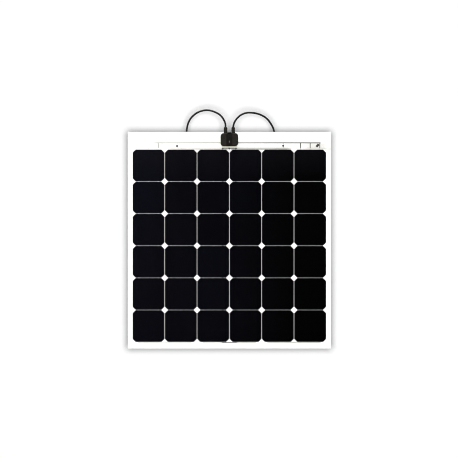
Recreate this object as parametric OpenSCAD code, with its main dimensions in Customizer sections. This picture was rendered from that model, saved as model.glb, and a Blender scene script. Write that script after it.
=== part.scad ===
// Flexible solar sheet: back-contact cells laminated between a clear film and a white
// reinforced back, with a junction box and two free leads that end in connectors.
//
// The sheet stands upright. The origin is the centre of its back face, its front faces -Y
// and +Z is up. Depths are distances in front of the back face, so a depth d lies at y = -d.

/* [Sheet] */
// Width of the sheet
sheet_w = 800; // [790:1:830]
// Height of the sheet
sheet_h = 853; // [850:1:880]
// White margin above the cells
top_margin = 69.5; // [66:0.5:72]
// Clearance between the strips at a bend line
seam = 0.4; // [0.3:0.1:0.8]

/* [Layers] */
// Thickness of the reinforced back sheet
back_t = 0.9; // [0.6:0.1:1.2]
// Thickness of the encapsulant behind the cells
rear_fill_t = 0.35; // [0.3:0.05:0.5]
// Thickness of the encapsulant around and over the cells
front_fill_t = 0.6; // [0.5:0.05:0.8]
// Thickness of the clear front film
film_t = 0.15; // [0.1:0.05:0.3]

/* [Cells] */
// Side of a cell
cell_w = 125; // [124:0.5:126]
// Diameter of the round wafer that a cell is cut from
wafer_d = 160; // [150:1:165]
// Thickness of a cell
cell_t = 0.2; // [0.15:0.05:0.3]
// Gap between neighbouring columns of cells
column_gap = 2.3; // [2:0.1:3]
// Gap between neighbouring rows of cells
row_gap = 1.5; // [1.5:0.1:3]

/* [Ribbons] */
// Width of a bus ribbon
bus_w = 4; // [3:0.5:5]
// Width of the ribbons that link two columns
link_w = 3; // [2:0.5:4]
// Thickness of every ribbon and tab
ribbon_t = 0.15; // [0.1:0.05:0.2]
// Distance of the bus ribbons below the top edge
bus_drop = 43; // [40:0.5:44]

/* [Junction box] */
// Width of the box
box_w = 68; // [66:1:72]
// Height of the box
box_h = 51; // [49:1:52]
// Radius of the box's corners
box_r = 12; // [11:1:14]
// Distance of the box below the top edge
box_drop = 5.3; // [4:0.1:8]
// Depth of the tray
tray_d = 12.5; // [12.5:0.5:14]
// Depth of the lid above the tray
lid_d = 5; // [4.5:0.5:7]
// Thickness of the tray's walls
wall = 3.5; // [3.2:0.1:4]

/* [Glands] */
// Distance between the two glands
gland_pitch = 30; // [28:1:32]
// Diameter of a gland nut
gland_d = 14; // [13.4:0.1:14.2]
// Length of a gland nut
gland_l = 24; // [20:0.5:25]

/* [Leads] */
// Diameter of a cable over its sheath
cable_d = 7.5; // [7:0.1:7.6]

/* [Connectors] */
// Diameter of a connector nut
nut_d = 18; // [17:0.5:20]
// Diameter of a connector body
body_d = 16.4; // [15.5:0.1:17]
// Diameter of the contact pin
pin_d = 4; // [3.9:0.1:4]

/* [Hidden] */
$fn = 48;
eps = 0.01;

// Grid of the cells
COLUMNS = 6;
ROWS = 6;
pitch_x = cell_w + column_gap;
pitch_z = cell_w + row_gap;
cells_top = sheet_h / 2 - top_margin;
cells_bottom = cells_top - ROWS * cell_w - (ROWS - 1) * row_gap;
// A cell's solder pads lie this far left and right of its centre, and one on the centre
pad_pitch = 38;

// Depths of the layers' faces
ribbon_depth = back_t + rear_fill_t - ribbon_t;
cell_depth = back_t + rear_fill_t;
film_depth = cell_depth + front_fill_t;
front_depth = film_depth + film_t;

// Strips between the bend lines: name, low x, high x, first column, last column
bend_1 = pitch_x;
bend_2 = 2 * pitch_x;
STRIPS = [
    ["left_outer", -sheet_w / 2, -bend_2 - seam / 2, 1, 1],
    ["left_inner", -bend_2 + seam / 2, -bend_1 - seam / 2, 2, 2],
    ["center", -bend_1 + seam / 2, bend_1 - seam / 2, 3, 4],
    ["right_inner", bend_1 + seam / 2, bend_2 - seam / 2, 5, 5],
    ["right_outer", bend_2 + seam / 2, sheet_w / 2, 6, 6],
];
CENTER = STRIPS[2];

// Heights of the ribbons' centre lines
bus_z = sheet_h / 2 - bus_drop;
top_link_z = cells_top + 4.5;
bottom_link_z = cells_bottom - 3;
// Ribbons reach this far in behind a cell
overlap = 4;
tail_x = 8;
tail_w = 4;

// Bypass diodes: name, x, z, strip
diode_d = 8.4;
diode_t = 0.45;
DIODES = [
    ["left", -206, cells_top + 14, 1],
    ["center", 0, cells_top + 4.7, 2],
    ["right", 212, cells_top + 15, 3],
];

// Junction box
box_top = sheet_h / 2 - box_drop;
box_z = box_top - box_h / 2;
pad_t = 0.8;
bead_w = 62;
bead_h = 11.4;
tray_depth = front_depth + pad_t;
floor_t = 2;
rim_depth = tray_depth + tray_d;
slot_w = 26;
slot_h = 8;
potting_t = 1.7;
plate_depth = tray_depth + floor_t + potting_t;
gland_x = gland_pitch / 2;
gland_depth = 10;
spigot_r = 5.2;
spigot_bore_r = 4.4;
spigot_l = 10;
web_x = gland_x - gland_d / 2 - 0.4;
web_h = 4.3;
web_d = 9;
// Band down the middle of the lid, and the finger notch at its top
band_w = 22;
notch_w = 12;
notch_h = 4;

// Connectors: the length of the cable inside one, and its parts along the axis
cable_grip = 20;
nut_l = 16;
body_front = 36;
mouth = 56;

// Route of the left cable: x, y, height above the sheet's top edge
LEFT_ROUTE = [
    [-15, -10, -4], [-15, -10, 18], [-16, -10, 33], [-23, -9, 49], [-34, -7, 64],
    [-52, -4, 76], [-70, 0, 83], [-89, 4, 86], [-109, 8, 83], [-127, 11, 76],
    [-143, 13, 64], [-155, 15, 50], [-163, 16, 33], [-167, 16, 16], [-169, 16, -1],
    [-170, 16, -25], [-170, 16, -60], [-171, 16, -110], [-171, 17, -170],
    [-172, 18, -240], [-172, 19, -320], [-172, 20, -400], [-172, 21, -480],
    [-172, 22, -560], [-172, 22, -620], [-172, 22, -665],
];
// Route of the right cable
RIGHT_ROUTE = [
    [15, -10, -4], [15, -10, 18], [18, -10, 32], [25, -9, 46], [36, -7, 59],
    [50, -4, 69], [67, 0, 75], [85, 4, 76], [103, 8, 74], [121, 11, 69],
    [137, 13, 61], [151, 15, 50], [161, 16, 37], [170, 16, 22], [176, 16, 6],
    [181, 16, -12], [184, 16, -40], [186, 16, -80], [187, 16, -120], [187, 17, -170],
    [187, 18, -240], [187, 19, -320], [187, 20, -400], [187, 21, -480],
    [187, 22, -560], [187, 22, -620], [187, 22, -665],
];
CABLE_SIDES = 10;

// ---- Helpers ----

// Extrudes a plan drawn in X and Z, from depth d towards the front by t
module layer(d, t) {
    translate([0, -d, 0]) rotate([90, 0, 0]) linear_extrude(t) children();
}

// Rectangle between two corners
module area(x0, z0, x1, z1) {
    translate([x0, z0]) square([x1 - x0, z1 - z0]);
}

module rounded(w, h, r) {
    square([w - 2 * r, h], center = true);
    square([w, h - 2 * r], center = true);
    for (x = [-1, 1], z = [-1, 1])
        translate([x * (w / 2 - r), z * (h / 2 - r)]) circle(r);
}

// Outline of the box, moved in from its outer edge
module box_plan(inset) {
    translate([0, box_z]) rounded(box_w - 2 * inset, box_h - 2 * inset, box_r - inset);
}

// Round bar or bore along Z, between two heights
module rod(r, z0, z1) {
    translate([0, 0, z0]) cylinder(r = r, h = z1 - z0);
}

module at_gland(side) {
    translate([side * gland_x, -gland_depth, 0]) children();
}

// Places a connector, drawn hanging down from its cable entry, on the end of a route
module at_end(route) {
    end = route[len(route) - 1];
    translate([end[0], end[1], sheet_h / 2 + end[2] + cable_grip]) children();
}

function column_x(c) = (c - (COLUMNS + 1) / 2) * pitch_x;
function row_z(r) = cells_top - cell_w / 2 - (r - 1) * pitch_z;

// ---- Plans of the sheet ----

module strip_plan(s) {
    area(s[1], -sheet_h / 2, s[2], sheet_h / 2);
}

module cell_plan(c) {
    for (r = [1:ROWS])
        translate([column_x(c), row_z(r)])
            intersection() {
                square(cell_w, center = true);
                circle(d = wafer_d, $fn = 96);
            }
}

// Three dog-bone tabs over every gap between two rows
module tab_plan(s) {
    for (c = [s[3]:s[4]], r = [1:ROWS - 1], k = [-1:1])
        translate([column_x(c) + k * pad_pitch, row_z(r) - pitch_z / 2]) {
            square([5, 8], center = true);
            for (side = [-1, 1])
                translate([0, side * 4]) square([10, 3], center = true);
        }
}

// Every ribbon as low x, low z, high x, high z
function across(x0, x1, z, w) = [x0, z - w / 2, x1, z + w / 2];
function upright(x, z0, z1, w) = [x - w / 2, z0, x + w / 2, z1];
function pads(c) = [for (k = [-1:1]) column_x(c) + k * pad_pitch];
function outer_pads(c) = [for (k = [0:1]) column_x(c) + sign(column_x(c)) * k * pad_pitch];
// The pad of an end column that lies nearest the middle
function near_pad(c) = column_x(c) - sign(column_x(c)) * pad_pitch;
function link(c, z) = across(pads(c)[0] - link_w, pads(c + 1)[2] + link_w, z, link_w);

RIBBONS = concat(
    // Bus ribbons, from the outermost pads to the box
    [across(column_x(1) - link_w, -tail_x, bus_z, bus_w)],
    [across(tail_x, column_x(6) + pad_pitch + link_w, bus_z, bus_w)],
    [upright(column_x(1), cells_top - overlap, bus_z, link_w)],
    [upright(near_pad(1), cells_top - overlap, bus_z, link_w)],
    [upright(near_pad(6), cells_top - overlap, bus_z, link_w)],
    [for (x = outer_pads(6)) upright(x, cells_top - overlap, bus_z, link_w)],
    // Links over the tops and under the bottoms of neighbouring columns
    [for (c = [2, 4]) link(c, top_link_z)],
    [for (c = [1, 3, 5]) link(c, bottom_link_z)],
    [for (c = [2:5], x = pads(c)) upright(x, cells_top - overlap, top_link_z, link_w)],
    [for (c = [1:6], x = pads(c)) upright(x, bottom_link_z, cells_bottom + overlap, link_w)],
    // Leads of the bypass diodes
    [for (i = [0, 2]) upright(DIODES[i][1], top_link_z, bus_z, 1.2)],
    [across(pads(3)[2], pads(4)[0], DIODES[1][2], 2)]
);

module ribbon_plan(s) {
    for (r = RIBBONS) {
        x0 = max(r[0], s[1]);
        x1 = min(r[2], s[2]);
        if (x1 > x0) area(x0, r[1], x1, r[3]);
    }
}

module window_plan() {
    translate([0, bus_z]) square([slot_w, slot_h], center = true);
}

// ---- Layers of the sheet ----

module front_film(s) {
    color([0.93, 0.95, 0.96, 0.3])
        layer(film_depth, film_t) difference() {
            strip_plan(s);
            if (s == CENTER) window_plan();
        }
}

module front_encapsulant(s) {
    color([0.96, 0.96, 0.93, 0.3])
        difference() {
            layer(cell_depth, front_fill_t) strip_plan(s);
            layer(cell_depth - eps, cell_t + eps)
                for (c = [s[3]:s[4]]) cell_plan(c);
            for (d = DIODES)
                if (STRIPS[d[3]] == s)
                    layer(cell_depth - eps, diode_t + eps)
                        translate([d[1], d[2]]) circle(d = diode_d);
            if (s == CENTER)
                layer(cell_depth - eps, front_fill_t + 2 * eps) window_plan();
        }
}

module cells(c) {
    color([0.05, 0.05, 0.08]) layer(cell_depth, cell_t) cell_plan(c);
}

module cell_tabs(s) {
    color([0.78, 0.78, 0.76]) layer(ribbon_depth, ribbon_t) tab_plan(s);
}

module ribbons(s) {
    color([0.72, 0.71, 0.64]) {
        layer(ribbon_depth, ribbon_t) ribbon_plan(s);
        // Tails that turn forward into the box
        if (s == CENTER)
            for (side = [-1, 1])
                layer(ribbon_depth, plate_depth - ribbon_depth)
                    translate([side * (tail_x + tail_w / 2), bus_z])
                        square([tail_w, ribbon_t], center = true);
    }
}

module rear_encapsulant(s) {
    color([0.96, 0.96, 0.93])
        difference() {
            layer(back_t, rear_fill_t) strip_plan(s);
            layer(ribbon_depth, ribbon_t + eps) {
                ribbon_plan(s);
                tab_plan(s);
            }
            if (s == CENTER)
                layer(ribbon_depth, ribbon_t + eps) window_plan();
        }
}

module back_sheet(s) {
    color("white") layer(0, back_t) strip_plan(s);
}

module bypass_diode(d) {
    color([0.1, 0.1, 0.1])
        layer(cell_depth, diode_t) translate([d[1], d[2]]) circle(d = diode_d);
}

// ---- Junction box ----

module adhesive_pad() {
    color([0.93, 0.93, 0.86])
        layer(front_depth, pad_t) difference() {
            union() {
                box_plan(-1.2);
                // Bead squeezed out below the box
                translate([0, box_z - box_h / 2]) rounded(bead_w, bead_h, 6);
            }
            window_plan();
        }
}

module box_base() {
    color([0.13, 0.12, 0.11])
        difference() {
            union() {
                layer(tray_depth, tray_d) box_plan(0);
                // Web between the two glands
                layer(tray_depth + 1, web_d)
                    area(-web_x, box_top - 1, web_x, box_top + web_h);
                for (side = [-1, 1])
                    at_gland(side) rod(spigot_r, box_top - wall / 2, box_top + spigot_l);
            }
            layer(tray_depth + floor_t, tray_d) box_plan(wall);
            layer(tray_depth - eps, floor_t + 2 * eps) window_plan();
            // Groove of the gasket
            layer(rim_depth - 1.2, 1.2 + eps) difference() {
                box_plan(1);
                box_plan(2.5);
            }
            for (side = [-1, 1])
                at_gland(side)
                    rod(spigot_bore_r, box_top - wall - 1, box_top + spigot_l + eps);
        }
}

module lid_gasket() {
    color([0.2, 0.2, 0.2])
        layer(rim_depth - 1.2, 1.2) difference() {
            box_plan(1.1);
            box_plan(2.4);
        }
}

module box_lid() {
    color([0.17, 0.16, 0.15]) {
        difference() {
            union() {
                layer(rim_depth, lid_d / 2) box_plan(0);
                layer(rim_depth + lid_d / 2 - eps, lid_d / 2 + eps) box_plan(2.5);
            }
            // Sunk band down the middle of the lid
            layer(rim_depth + lid_d - 0.8, 0.8 + eps)
                translate([0, box_z]) square([band_w, box_h], center = true);
            layer(rim_depth + 1.5, lid_d)
                area(-notch_w / 2, box_top - notch_h, notch_w / 2, box_top + 1);
        }
        // Skirt that centres the lid in the tray
        layer(rim_depth - 2, 2 + eps) difference() {
            box_plan(wall + 0.3);
            box_plan(wall + 1.8);
        }
        // Raised pip in the band
        layer(rim_depth + lid_d - 0.8 - eps, 0.5)
            translate([0, box_z - 8]) circle(d = 5);
    }
}

module potting() {
    color([0.1, 0.1, 0.1])
        layer(tray_depth + floor_t, potting_t) difference() {
            box_plan(wall + 0.05);
            for (side = [-1, 1])
                translate([side * (tail_x + tail_w / 2), bus_z])
                    square([tail_w + 0.4, 1], center = true);
        }
}

// Terminal plate with a crimp barrel on the cable's axis
module terminal(side) {
    layer(plate_depth, 1)
        area(min(side * 6, side * 22), bus_z - 6, max(side * 6, side * 22), bus_z + 8);
    difference() {
        union() {
            layer(plate_depth, gland_depth - plate_depth)
                area(side * gland_x - 1.5, bus_z + 6, side * gland_x + 1.5, bus_z + 14);
            at_gland(side) rod(2.5, bus_z + 6, bus_z + 18);
        }
        at_gland(side) rod(1.7, bus_z + 8, bus_z + 19);
    }
}

module terminals() {
    color([0.8, 0.8, 0.78]) for (side = [-1, 1]) terminal(side);
}

module cable_cores() {
    color([0.8, 0.5, 0.3])
        for (side = [-1, 1])
            at_gland(side) rod(1.6, bus_z + 8, sheet_h / 2 + LEFT_ROUTE[0][2]);
}

// ---- Glands ----

module gland_seals() {
    color([0.15, 0.15, 0.15])
        for (side = [-1, 1])
            at_gland(side) difference() {
                rod(spigot_bore_r - 0.05, box_top + 1, box_top + spigot_l + 0.8);
                rod(cable_d / 2 + 0.05, box_top, box_top + spigot_l + 1);
            }
}

module gland_nut(side) {
    tip = box_top + 0.5 + gland_l;
    shoulder = tip - 3;
    color([0.14, 0.13, 0.12])
        at_gland(side) difference() {
            union() {
                rod(gland_d / 2, box_top + 0.5, shoulder);
                translate([0, 0, shoulder])
                    cylinder(r1 = gland_d / 2, r2 = 4.8, h = tip - shoulder);
            }
            rod(spigot_r + 0.1, box_top, box_top + spigot_l + 1);
            rod(cable_d / 2 + 0.15, box_top, tip + 1);
        }
}

// ---- Leads ----

function unit(v) = v / norm(v);
function direction(p, i) = unit(p[min(i + 1, len(p) - 1)] - p[max(i - 1, 0)]);

// Corners of the tube's ring around point i of a route; the routes never run along Y
function ring(p, i) =
    let (t = direction(p, i), a = unit(cross(t, [0, 1, 0])), b = cross(a, t))
    [for (k = [0:CABLE_SIDES - 1])
        let (u = 360 * k / CABLE_SIDES)
        p[i] + cable_d / 2 * (a * cos(u) + b * sin(u))];

module cable(route) {
    p = [for (q = route) [q[0], q[1], q[2] + sheet_h / 2]];
    n = len(p);
    m = CABLE_SIDES;
    sides = [for (i = [0:n - 2], k = [0:m - 1])
        let (a = i * m + k, b = i * m + (k + 1) % m)
        each [[a, b, b + m], [a, b + m, a + m]]];
    start = [for (k = [m - 1:-1:0]) k];
    end = [for (k = [0:m - 1]) (n - 1) * m + k];
    color([0.09, 0.09, 0.09])
        polyhedron(
            points = [for (i = [0:n - 1]) each ring(p, i)],
            faces = concat([start], sides, [end])
        );
}

// ---- Connectors ----

module connector_nut() {
    color([0.1, 0.1, 0.1]) difference() {
        rod(nut_d / 2, -nut_l, 0);
        rod(cable_d / 2 + 0.25, -nut_l, 1);
        rod(6.1, -nut_l - 1, -4);
    }
}

// Rear of a connector's body, shared by the socket and the plug
module body_rear() {
    rod(6, -nut_l - 1, -6);
    rod(body_d / 2, -body_front, -nut_l - 0.2);
}

// Bores for the cable and the contact
module body_bores(contact_end) {
    rod(cable_d / 2 + 0.25, -cable_grip, -5);
    rod(3.05, contact_end, -cable_grip + eps);
}

module socket_body() {
    color([0.1, 0.1, 0.1])
        at_end(LEFT_ROUTE) difference() {
            union() {
                body_rear();
                rod(5.6, -mouth, -body_front + eps);
            }
            body_bores(-mouth - 1);
            difference() {
                rod(7, -body_front - 5, -body_front - 3);
                rod(4.9, -body_front - 6, -body_front - 2);
            }
        }
}

module socket_contact() {
    color([0.8, 0.8, 0.78])
        at_end(LEFT_ROUTE) difference() {
            rod(3, -mouth + 1, -cable_grip);
            rod(pin_d / 2, -mouth, -mouth + 23);
        }
}

module socket_seal() {
    color([0.2, 0.2, 0.2])
        at_end(LEFT_ROUTE) difference() {
            rod(5.85, -body_front - 4.9, -body_front - 3.1);
            rod(4.9, -body_front - 6, -body_front - 2);
        }
}

module plug_body() {
    color([0.1, 0.1, 0.1])
        at_end(RIGHT_ROUTE) difference() {
            union() {
                body_rear();
                rod(body_d / 2, -mouth, -body_front + eps);
            }
            body_bores(-body_front - 1);
            rod(6.1, -mouth - 1, -body_front);
        }
}

module plug_pin() {
    color([0.8, 0.8, 0.78])
        at_end(RIGHT_ROUTE) {
            rod(3, -body_front, -cable_grip);
            rod(pin_d / 2, -mouth + 4, -body_front + eps);
            translate([0, 0, -mouth + 3]) cylinder(r1 = 1.2, r2 = pin_d / 2, h = 1);
        }
}

for (s = STRIPS) {
    front_film(s);
    front_encapsulant(s);
    cell_tabs(s);
    ribbons(s);
    rear_encapsulant(s);
    back_sheet(s);
}
for (c = [1:COLUMNS])
    cells(c);
for (d = DIODES)
    bypass_diode(d);
adhesive_pad();
box_base();
box_lid();
lid_gasket();
potting();
terminals();
cable_cores();
gland_seals();
gland_nut(-1);  // gland_nut_left
gland_nut(1);  // gland_nut_right
cable(LEFT_ROUTE);  // cable_left
cable(RIGHT_ROUTE);  // cable_right
socket_body();
at_end(LEFT_ROUTE) connector_nut();  // socket_nut
socket_contact();
socket_seal();
plug_body();
at_end(RIGHT_ROUTE) connector_nut();  // plug_nut
plug_pin();
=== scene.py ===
"""Flexible solar sheet: the looks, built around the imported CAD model.

Everything is in metres, in the CAD frame: the origin is the centre of the sheet's back face,
the front faces -Y and +Z is up. Places come from the CAD nodes' boxes.
"""

import math

import bmesh
import bpy
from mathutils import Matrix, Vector


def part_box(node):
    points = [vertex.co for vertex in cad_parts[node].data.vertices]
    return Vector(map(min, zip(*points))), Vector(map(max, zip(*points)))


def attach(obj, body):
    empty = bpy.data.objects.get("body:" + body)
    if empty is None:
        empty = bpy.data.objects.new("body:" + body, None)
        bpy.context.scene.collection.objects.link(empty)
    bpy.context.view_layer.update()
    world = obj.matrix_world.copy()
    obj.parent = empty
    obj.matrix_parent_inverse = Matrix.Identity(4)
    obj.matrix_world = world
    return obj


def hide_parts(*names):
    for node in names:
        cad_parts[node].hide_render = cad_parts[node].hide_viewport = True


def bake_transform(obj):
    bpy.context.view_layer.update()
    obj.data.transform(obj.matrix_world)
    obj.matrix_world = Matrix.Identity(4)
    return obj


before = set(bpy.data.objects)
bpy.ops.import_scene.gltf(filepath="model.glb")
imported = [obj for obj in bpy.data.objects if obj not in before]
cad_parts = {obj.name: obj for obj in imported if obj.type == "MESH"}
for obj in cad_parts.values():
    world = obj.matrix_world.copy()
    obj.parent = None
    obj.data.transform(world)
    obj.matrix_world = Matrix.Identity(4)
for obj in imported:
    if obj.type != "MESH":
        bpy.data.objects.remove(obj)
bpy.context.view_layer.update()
MM = 0.001

# ---- Places taken from the frame ----

back_low, back_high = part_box("back_sheet_center")
SHEET_TOP = back_high.z
SHEET_BOTTOM = back_low.z
SHEET_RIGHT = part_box("back_sheet_right_outer")[1].x
HINGE_1 = (back_high.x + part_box("back_sheet_right_inner")[0].x) / 2
HINGE_2 = (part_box("back_sheet_right_inner")[1].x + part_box("back_sheet_right_outer")[0].x) / 2
HALF_PITCH = (HINGE_2 - HINGE_1) / 2
# The array of six by six cells
ARRAY_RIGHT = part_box("cells_column_6")[1].x
ARRAY_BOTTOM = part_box("cells_column_6")[0].z
ARRAY_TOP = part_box("cells_column_6")[1].z
ROW_GAP = 1.5 * MM
ROW_PITCH = (ARRAY_TOP - ARRAY_BOTTOM + ROW_GAP) / 6
BUS_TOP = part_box("ribbons_left_outer")[1].z

# The bent layers are made in four spans. Each crosses one bend line and ends where the strip at its
# end is rigid.
# Name, low x, high x, bend line, body on the near side, body on the far side
SPANS = [
    ("left_outer", -SHEET_RIGHT, -HINGE_1 - HALF_PITCH, -HINGE_2, "left_inner", "left_outer"),
    ("left_inner", -HINGE_1 - HALF_PITCH, 0.0, -HINGE_1, "root", "left_inner"),
    ("right_inner", 0.0, HINGE_1 + HALF_PITCH, HINGE_1, "root", "right_inner"),
    ("right_outer", HINGE_1 + HALF_PITCH, SHEET_RIGHT, HINGE_2, "right_inner", "right_outer"),
]
# CAD strips that a span stands for
STRIPS_OF = {
    "left_outer": ["left_outer"],
    "left_inner": ["left_inner", "center"],
    "right_inner": ["right_inner", "center"],
    "right_outer": ["right_outer"],
}


# ---- Camera, lights and stage ----

# Width of the scene that fills the frame, and its middle
VIEW_WIDTH = 1.804
VIEW_X, VIEW_Z = -0.0014, 0.0442
CAMERA_DISTANCE = 10.0
SENSOR = 36.0


def make_camera():
    data = bpy.data.cameras.new("camera")
    data.sensor_width = SENSOR
    data.lens = SENSOR * CAMERA_DISTANCE / VIEW_WIDTH
    data.clip_end = 100
    camera = in_scene("camera", data)
    camera.location = (VIEW_X, -CAMERA_DISTANCE, VIEW_Z)
    camera.rotation_euler = (math.pi / 2, 0, 0)
    bpy.context.scene.camera = camera


def area_light(name, place, target, size, watts, glossy=True):
    data = bpy.data.lights.new(name, "AREA")
    data.shape = "DISK"
    data.size = size
    data.energy = watts
    light = in_scene(name, data)
    light.location = place
    light.rotation_mode = "QUATERNION"
    light.rotation_quaternion = (Vector(target) - Vector(place)).to_track_quat("-Z", "Y")
    light.visible_camera = False
    light.visible_glossy = glossy
    return light


def make_lights(wall):
    area_light("front", (0.03, -5, 0.0), (0, 0, 0), 3.0, 300, glossy=False)
    area_light("rear", (0.5, 6, 1.5), (0, 0, 0), 4.0, 420)
    top = area_light("top", (-0.6, -1.2, 4.0), (0, -0.4, 0), 3.0, 190)
    upper_left = area_light("upper_left", (-2.2, -2.2, 2.2), (-0.2, 0, 0.2), 0.9, 14)
    # These two leave the wall alone, so that the shadow round the sheet stays clear
    spared = bpy.data.collections.new("spared")
    spared.objects.link(wall)
    for light in (top, upper_left):
        light.light_linking.receiver_collection = spared
    spared.collection_objects[0].light_linking.link_state = "EXCLUDE"


def make_world():
    """White where the camera sees it, and dim for everything that the studio lights."""
    world = bpy.data.worlds.new("studio")
    bpy.context.scene.world = world
    world.use_nodes = True
    nt = world.node_tree
    nt.nodes.clear()
    out = nt.nodes.new("ShaderNodeOutputWorld")
    mix = nt.nodes.new("ShaderNodeMixShader")
    path = nt.nodes.new("ShaderNodeLightPath")
    dim = nt.nodes.new("ShaderNodeBackground")
    dim.inputs["Color"].default_value = (0.94, 0.96, 1.0, 1)
    dim.inputs["Strength"].default_value = 0.06
    white = nt.nodes.new("ShaderNodeBackground")
    white.inputs["Color"].default_value = (1, 1, 1, 1)
    nt.links.new(path.outputs["Is Camera Ray"], mix.inputs[0])
    nt.links.new(dim.outputs[0], mix.inputs[1])
    nt.links.new(white.outputs[0], mix.inputs[2])
    nt.links.new(mix.outputs[0], out.inputs["Surface"])
    bpy.context.scene.view_settings.view_transform = "Standard"
    bpy.context.scene.cycles.filter_width = 1.0


WALL_Y = 0.078
FLOOR_Z = SHEET_BOTTOM - 0.475
STAGE_REACH = 5.0


def make_stage():
    """A pale floor, and a wall that the camera sees from its front only."""
    floor_points = [(-1, -1), (1, -1), (1, 1), (-1, 1)]
    corners = [(x * STAGE_REACH, y * STAGE_REACH, FLOOR_Z) for x, y in floor_points]
    floor = mesh_object("floor", corners, [(0, 1, 2, 3)])
    wear(floor, floor_material())
    wall_points = [(-1, 0), (1, 0), (1, 1), (-1, 1)]
    corners = [(x * STAGE_REACH, WALL_Y, FLOOR_Z + z * STAGE_REACH) for x, z in wall_points]
    wall = mesh_object("wall", corners, [(0, 1, 2, 3)])
    wear(wall, wall_material())
    wall.visible_transmission = False
    for piece in (floor, wall):
        piece.visible_shadow = False
        piece.visible_diffuse = False
        piece.visible_glossy = False
    return wall


# ---- Meshes ----


# Moulded pieces are smooth but for edges bent by more than this, in degrees
SHARP_ANGLE = 35


def in_scene(name, data):
    obj = bpy.data.objects.new(name, data)
    bpy.context.scene.collection.objects.link(obj)
    return obj


def mesh_object(name, points, faces):
    mesh = bpy.data.meshes.new(name)
    mesh.from_pydata(points, [], faces)
    mesh.update()
    return in_scene(name, mesh)


def smooth(mesh, angle):
    """Smooth shading, but sharp at edges bent by more than the angle."""
    mesh.polygons.foreach_set("use_smooth", [True] * len(mesh.polygons))
    mesh.set_sharp_from_angle(angle=math.radians(angle))


def bmesh_object(name, bm, smooth_angle=None):
    """Makes an object of the bmesh, flat-faced unless it has a smooth_angle."""
    bmesh.ops.recalc_face_normals(bm, faces=bm.faces)
    mesh = bpy.data.meshes.new(name)
    bm.to_mesh(mesh)
    bm.free()
    if smooth_angle is not None:
        smooth(mesh, smooth_angle)
    return in_scene(name, mesh)


def wear(obj, material):
    obj.data.materials.clear()
    obj.data.materials.append(material)


def add_rings(bm, rings, closed=False):
    """Skins a row of rings with as many points each, and caps it or closes it on itself."""
    rows = [[bm.verts.new(p) for p in ring] for ring in rings]
    count = len(rows[0])
    pairs = list(zip(rows, rows[1:]))
    if closed:
        pairs.append((rows[-1], rows[0]))
    for low, high in pairs:
        for i in range(count):
            j = (i + 1) % count
            bm.faces.new((low[i], low[j], high[j], high[i]))
    if not closed:
        bm.faces.new(rows[0][::-1])
        bm.faces.new(rows[-1])


def spaced(low, high, step):
    """Even steps from low to high, none longer than step."""
    count = max(1, math.ceil((high - low) / step - 1e-6))
    return [low + (high - low) * i / count for i in range(count + 1)]


# ---- Material tools ----


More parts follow.
